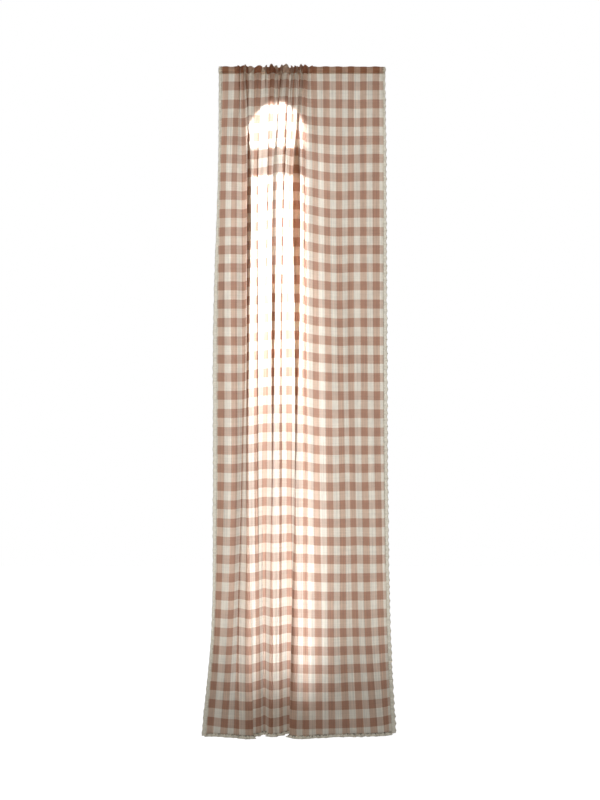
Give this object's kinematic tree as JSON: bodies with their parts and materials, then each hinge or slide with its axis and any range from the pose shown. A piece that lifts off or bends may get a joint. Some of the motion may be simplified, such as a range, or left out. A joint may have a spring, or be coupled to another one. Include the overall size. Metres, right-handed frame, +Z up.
{
  "type": "gingham curtain panel",
  "caption": "Hung cotton curtain panel in a two-tone check, with a rod pocket gathered left of its middle and a narrow ruffled edging down both sides and along the hem.",
  "frame": {"origin": "on the axis of the rod that the pocket takes, at the middle of the panel's top", "axes": "+X along the rod to the viewer's right, front face towards -Y, +Z up"},
  "size_m": [0.4697, 0.0497, 1.6064],
  "materials": {
    "check_cotton": "matt sheer cotton, terracotta and ecru check",
    "edging_cotton": "matt plain ecru cotton"
  },
  "bodies": {
    "root": {"panel": "check_cotton", "rod_pocket": "check_cotton", "frill_left": "edging_cotton", "frill_right": "edging_cotton", "frill_hem": "edging_cotton"}
  },
  "joints": []
}
